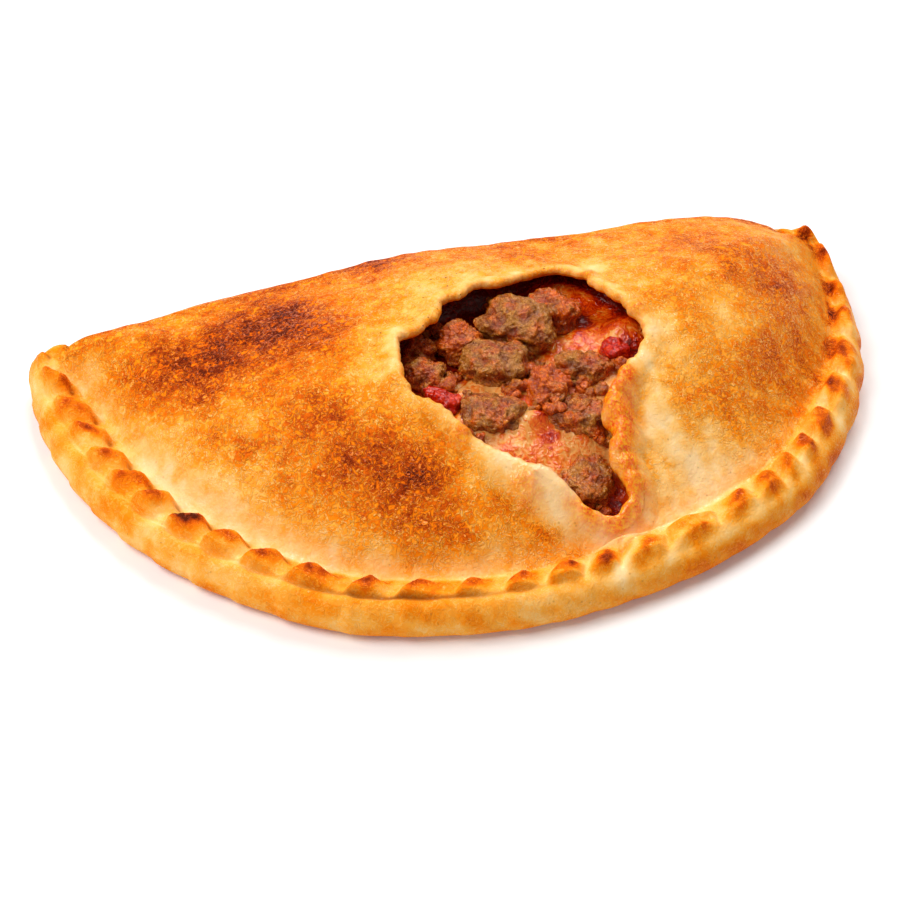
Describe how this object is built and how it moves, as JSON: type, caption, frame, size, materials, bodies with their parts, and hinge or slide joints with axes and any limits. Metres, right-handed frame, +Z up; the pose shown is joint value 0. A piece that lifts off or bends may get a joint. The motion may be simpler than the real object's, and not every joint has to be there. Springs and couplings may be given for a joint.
{
  "type": "calzone",
  "caption": "Half-moon calzone of baked pizza dough with a thumb-crimped edge, a puffed top and a torn hole that shows minced meat, tomato and melted cheese.",
  "frame": {"origin": "centre of the bounding box in plan, on the flat base that the calzone rests on", "axes": "+X from tip to tip, along the fold, +Y from the crimped edge towards the fold, +Z up"},
  "size_m": [0.2714, 0.1492, 0.0467],
  "materials": {
    "crust": "golden-brown baked pizza dough, pale in the valleys, blistered and slightly glossy on top",
    "cheese": "melted cheese stained pinkish orange by oil and tomato, wet",
    "meat": "browned minced meat, crumbly, with a thin film of orange oil",
    "tomato": "soft cooked tomato, wet"
  },
  "bodies": {
    "root": {"crust": "crust", "filling": "cheese", "meat_1": "meat", "meat_2": "meat", "meat_3": "meat", "meat_4": "meat", "meat_5": "meat", "meat_6": "meat", "meat_7": "meat", "meat_8": "meat", "meat_9": "meat", "meat_10": "meat", "meat_11": "meat", "tomato_1": "tomato", "tomato_2": "tomato", "tomato_3": "tomato"}
  },
  "joints": []
}
